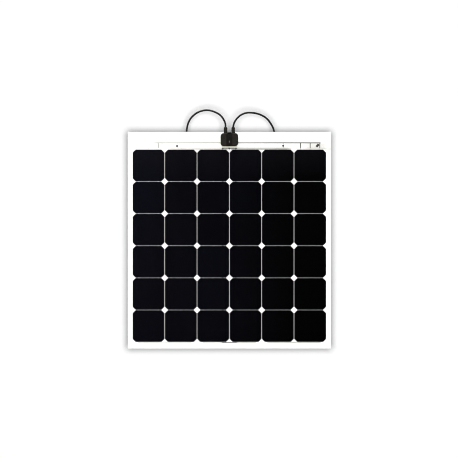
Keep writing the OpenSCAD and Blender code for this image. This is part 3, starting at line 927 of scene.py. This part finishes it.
def make_connector(kind, material):
    """Connector that hangs from its lead. The socket has a nose, the plug a shroud."""
    low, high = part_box(f"{kind}_nut")
    x, y, top = (low.x + high.x) / 2, (low.y + high.y) / 2, high.z
    bm = bmesh.new()
    add_turned(bm, x, y, scaled_profile(top, -1, NUT_ROWS), ribs=18, sides=144)
    nut = bmesh_object(f"{kind}_nut_ribbed", bm, smooth_angle=SHARP_ANGLE)
    ride_in_place(nut, "root", material, "connector_plastic", f"{kind}_nut")
    bm = bmesh.new()
    # The plug's body runs straight on into its shroud, without the rounded end
    rows = BODY_ROWS + SOCKET_NOSE_ROWS if kind == "socket" else BODY_ROWS[:-2] + SHROUD_ROWS
    add_turned(bm, x, y, scaled_profile(top, -1, rows), ribs=24, sides=96)
    if kind == "socket":
        add_latch_arms(bm, x, y, top, 30, 52)
    else:
        for side in (-1, 1):
            # Catch that a mating connector's arm snaps behind
            low_x, high_x = sorted((x + side * 7.9 * MM, x + side * 8.7 * MM))
            add_block(bm, (low_x, y - 3.4 * MM, top - 45 * MM),
                      (high_x, y + 3.4 * MM, top - 39 * MM), 0.35 * MM)
    body = bmesh_object(f"{kind}_body_detailed", bm, smooth_angle=SHARP_ANGLE)
    ride_in_place(body, "root", material, "connector_plastic", f"{kind}_body")
    return [nut, body]


# ---- Junction box ----


CORNER_STEPS = 7


def rounded_outline(centre, size, radii):
    """Points round a rectangle. radii are those of the NE, NW, SW and SE corners."""
    (cx, cz), (w, h) = centre, size
    points = []
    for k, radius in enumerate(radii):
        sx, sz = ((1, 1), (-1, 1), (-1, -1), (1, -1))[k]
        ox, oz = cx + sx * (w / 2 - radius), cz + sz * (h / 2 - radius)
        for i in range(CORNER_STEPS + 1):
            a = math.pi / 2 * (k + i / CORNER_STEPS)
            points.append((ox + radius * math.cos(a), oz + radius * math.sin(a)))
    return points


def add_plan_loft(bm, centre, size, radii, profile, closed=False, wave=0.0):
    """Skins rounded rectangles. Each profile row is an inset and a depth, in millimetres."""
    rings = []
    for inset, depth in profile:
        i = inset * MM
        shrunk = [max(r - i, 0.15 * MM) for r in radii]
        outline = rounded_outline(centre, (size[0] - 2 * i, size[1] - 2 * i), shrunk)
        ring = []
        for x, z in outline:
            a = math.atan2(z - centre[1], x - centre[0])
            lumps = math.sin(5 * a + 1) + 0.7 * math.sin(11 * a) + 0.4 * math.sin(23 * a)
            swell = wave * MM * lumps
            ring.append((x + swell * math.cos(a), -depth * MM, z + swell * math.sin(a)))
        rings.append(ring)
    add_rings(bm, rings, closed=closed)


def make_box(plastic, silicone):
    lid_low, lid_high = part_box("box_lid")
    centre = (0.0, (lid_low.z + lid_high.z) / 2)
    size = (lid_high.x - lid_low.x, lid_high.z - lid_low.z)
    radii = (12 * MM,) * 4
    foot = -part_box("box_base")[1].y / MM
    rim = foot + 12.5
    top = -lid_low.y / MM
    make_base(plastic, centre, size, radii, foot, rim)
    make_lid(centre, size, radii, rim, top)
    make_bead(silicone, centre, size, radii, foot)


def make_base(material, centre, size, radii, foot, rim):
    wall, floor = 3.5, foot + 2
    bm = bmesh.new()
    add_plan_loft(bm, centre, size, radii, [
        (0.3, foot), (0, foot + 0.3), (0, foot + 1.5), (0.25, foot + 1.9), (0.75, foot + 2.2),
        (0.95, rim - 2.4), (0.6, rim - 2.0), (0.15, rim - 1.7), (0, rim - 1.4), (0, rim - 0.3),
        (0.25, rim - 0.02), (1.0, rim - 0.02), (1.0, rim - 1.2), (2.5, rim - 1.2),
        (2.5, rim - 0.02), (wall - 0.2, rim - 0.02), (wall, rim - 0.2), (wall, floor + 0.6),
        (wall + 0.6, floor),
    ])
    half_w, half_h = size[0] / 2, size[1] / 2
    # Ribs between the foot and the lip, on the sides and below
    rib_pitch, half_rib, rib_chamfer = 5.4 * MM, 0.7 * MM, 0.25 * MM
    rib_front, rib_back = -(rim - 1.8) * MM, -(foot + 1.7) * MM
    for side in (-1, 1):
        for k in range(5):
            z = centre[1] + (k - 2) * rib_pitch
            x0, x1 = sorted((side * (half_w - 1.2 * MM), side * (half_w - 0.1 * MM)))
            add_block(bm, (x0, rib_front, z - half_rib), (x1, rib_back, z + half_rib), rib_chamfer)
    for k in range(7):
        x = (k - 3) * rib_pitch
        z = centre[1] - half_h
        add_block(bm, (x - half_rib, rib_front, z + 0.1 * MM),
                  (x + half_rib, rib_back, z + 1.2 * MM), rib_chamfer)
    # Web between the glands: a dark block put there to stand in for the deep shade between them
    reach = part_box("gland_nut_right")[0].x - 0.4 * MM
    shade_web_top = centre[1] + half_h + 4.3 * MM
    add_block(bm, (-reach, -(foot + 10) * MM, shade_web_top - 6 * MM),
              (reach, -(foot + 1) * MM, shade_web_top), 0.8 * MM)
    # Shoulders under the glands: height, width, depth and corner radius in millimetres
    shoulder = [(-4, 19, 10.6, 2.5), (-1.2, 18.6, 10.6, 3), (-0.2, 16, 10.6, 4),
                (0.45, 13.0, 10.4, 5)]
    z_top = centre[1] + half_h
    for side in ("left", "right"):
        low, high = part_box(f"gland_nut_{side}")
        gx, gy = (low.x + high.x) / 2, (low.y + high.y) / 2
        rings = []
        for z, w, d, r in shoulder:
            outline = rounded_outline((gx, gy), (w * MM, d * MM), (r * MM,) * 4)
            rings.append([(x, y, z_top + z * MM) for x, y in outline])
        add_rings(bm, rings)
    base = bmesh_object("box_base_moulded", bm, smooth_angle=SHARP_ANGLE)
    ride_in_place(base, "root", material, "box_plastic", "box_base")


def carve(obj, cutter):
    """Cuts the cutter's shape out of the piece, and removes the cutter."""
    modifier = obj.modifiers.new("carve", "BOOLEAN")
    modifier.operation = "DIFFERENCE"
    modifier.solver = "EXACT"
    modifier.use_self = True
    modifier.object = cutter
    bpy.context.view_layer.update()
    cut = bpy.data.meshes.new_from_object(obj.evaluated_get(bpy.context.evaluated_depsgraph_get()))
    obj.modifiers.clear()
    obj.data = cut
    bpy.data.objects.remove(cutter)
    smooth(cut, SHARP_ANGLE)


def make_lid(centre, size, radii, rim, top):
    bm = bmesh.new()
    half_w, half_h = size[0] / 2, size[1] / 2
    step = rim + 2.5
    # Plate with a rounded edge, and the skirt that drops into the tray
    add_plan_loft(bm, centre, size, radii, [
        (0.25, rim + 0.02), (0, rim + 0.3), (0, step - 0.9), (0.25, step - 0.35),
        (0.8, step), (2.2, step + 0.05),
    ])
    add_plan_loft(bm, centre, size, radii, [
        (3.8, rim + 0.1), (3.8, rim - 1.8), (4.0, rim - 2.0), (5.2, rim - 2.0), (5.3, rim - 1.8),
        (5.3, rim + 0.1),
    ], closed=True)
    # Raised panels on each side of the sunken band
    band = 22 * MM
    panel_w = half_w - 2.5 * MM - band / 2
    outer, inner = 9.5 * MM, 1.6 * MM
    panel_rows = [
        (0, step - 0.2), (0.05, top - 1.2), (0.35, top - 0.5), (0.9, top - 0.1), (1.6, top),
        (2.9, top), (3.2, top - 0.28), (3.6, top - 0.35),
    ]
    for side in (-1, 1):
        middle = (side * (band / 2 + panel_w / 2), centre[1])
        corners = (outer, inner, inner, outer) if side > 0 else (inner, outer, outer, inner)
        add_plan_loft(bm, middle, (panel_w, size[1] - 5 * MM), corners, panel_rows)
    add_plan_loft(bm, centre, (band + 0.6 * MM, size[1] - 5.4 * MM), (1.5 * MM,) * 4, [
        (0, step - 0.2), (0, top - 1.3), (0.2, top - 0.9), (0.5, top - 0.8),
    ])
    # Catch across the top of the band, and a bar below it
    for z, w, h in ((half_h - 9 * MM, 12, 3.0), (half_h - 14.5 * MM, 8, 1.4)):
        add_plan_loft(bm, (0, centre[1] + z), (w * MM, h * MM), (0.6 * MM,) * 4, [
            (0, top - 1.0), (0.05, top - 0.35), (0.35, top - 0.1), (0.5, top - 0.08),
        ])
    # Snap arms down the sides of the tray
    for side in (-1, 1):
        arm = sorted((side * (half_w - 0.7 * MM), side * (half_w + 0.1 * MM)))
        head = sorted((side * (half_w - 0.9 * MM), side * (half_w + 0.15 * MM)))
        for z in (-9, 9):
            z0, z1 = centre[1] + (z - 4) * MM, centre[1] + (z + 4) * MM
            for (x0, x1), back in ((arm, rim - 5), (head, rim + 0.5)):
                add_block(bm, (x0, -(rim + 1.6) * MM, z0), (x1, -back * MM, z1), 0.3 * MM)
    lid = bmesh_object("box_lid_moulded", bm, smooth_angle=SHARP_ANGLE)
    # Notch for the tool that opens the lid
    bm = bmesh.new()
    notch_low, half_notch = centre[1] + half_h - 4 * MM, 6 * MM
    add_block(bm, (-half_notch, -(top + 1) * MM, notch_low),
              (half_notch, -(rim + 1.2) * MM, notch_low + 8 * MM), 0.4 * MM)
    carve(lid, bmesh_object("notch_cutter", bm))
    plastic = lid_plastic(band / 2, notch_low, half_notch)
    ride_in_place(lid, "lid", plastic, "box_plastic", "box_lid")
    # Light pip in the band
    bm = bmesh.new()
    add_plan_loft(bm, (0, centre[1] - 8 * MM), (2.8 * MM, 7.5 * MM), (1.35 * MM,) * 4, [
        (0, top - 1.0), (0.1, top - 0.5), (0.4, top - 0.25), (0.9, top - 0.15),
    ])
    pip = bmesh_object("lid_pip", bm, smooth_angle=50)
    grey = moulded("pip_plastic", (0.11, 0.105, 0.095), (0.17, 0.16, 0.15), 0.4)
    ride_in_place(pip, "lid", grey, "box_plastic")


def make_bead(material, centre, size, radii, foot):
    """Silicone squeezed out round the foot of the box, most of it below."""
    bm = bmesh.new()
    film = foot - 0.8
    add_plan_loft(bm, centre, size, radii, [
        (3, film + 0.02), (-1.0, film + 0.02), (-1.25, film + 0.3), (-1.0, film + 0.75),
        (-0.4, film + 1.1), (0.3, film + 1.2), (3, film + 0.85),
    ], wave=0.12)
    low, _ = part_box("adhesive_pad")
    below = centre[1] - size[1] / 2
    reach = below - low.z
    add_plan_loft(bm, (0, below), (62 * MM, 2 * reach), (6 * MM,) * 4, [
        (0.2, film + 0.02), (0, film + 0.15), (0.25, film + 0.5), (0.9, film + 0.8),
        (1.8, film + 0.92), (3.0, film + 0.85), (5.5, film + 0.8),
    ], wave=0.22)
    bead = bmesh_object("adhesive_bead", bm, smooth_angle=60)
    ride_in_place(bead, "root", material, "white_sealant", "adhesive_pad")


# ---- CAD nodes that keep their shape ----


def dress_cad_nodes():
    tin = metal("tin", (0.62, 0.61, 0.59), (0.78, 0.77, 0.75), 0.3)
    copper = metal("copper", (0.70, 0.36, 0.22), (0.86, 0.50, 0.34), 0.35)
    rubber = moulded("seal_rubber", (0.012, 0.012, 0.012), (0.022, 0.022, 0.022), 0.75)
    finishes = {
        "terminals": tin, "socket_contact": tin, "plug_pin": tin, "cable_cores": copper,
        "lid_gasket": rubber, "gland_seals": rubber, "socket_seal": rubber,
        "potting": potting(),
    }
    for node, material in finishes.items():
        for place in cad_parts[node].material_slots:
            place.material = material


# ---- The whole ----


def make_leads_and_box():
    box_plastic = moulded("box_plastic", (0.0105, 0.0092, 0.0078), (0.0165, 0.0145, 0.0122),
                          0.52, specular=0.15)
    connector_plastic = moulded(
        "connector_plastic", (0.010, 0.010, 0.0105), (0.018, 0.018, 0.0185), 0.42
    )
    make_box(box_plastic, sealant())
    make_glands(box_plastic)
    sheath = cable_sheath()
    for side, kind, route in (("left", "socket", LEFT_ROUTE), ("right", "plug", RIGHT_ROUTE)):
        on_lead = make_connector(kind, connector_plastic)
        extra = ["socket_contact", "socket_seal"] if kind == "socket" else ["plug_pin"]
        on_lead += [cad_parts[n] for n in extra]
        make_cable(side, route, sheath)


make_camera()
make_world()
make_lights(make_stage())
make_sheet()
make_leads_and_box()
dress_cad_nodes()
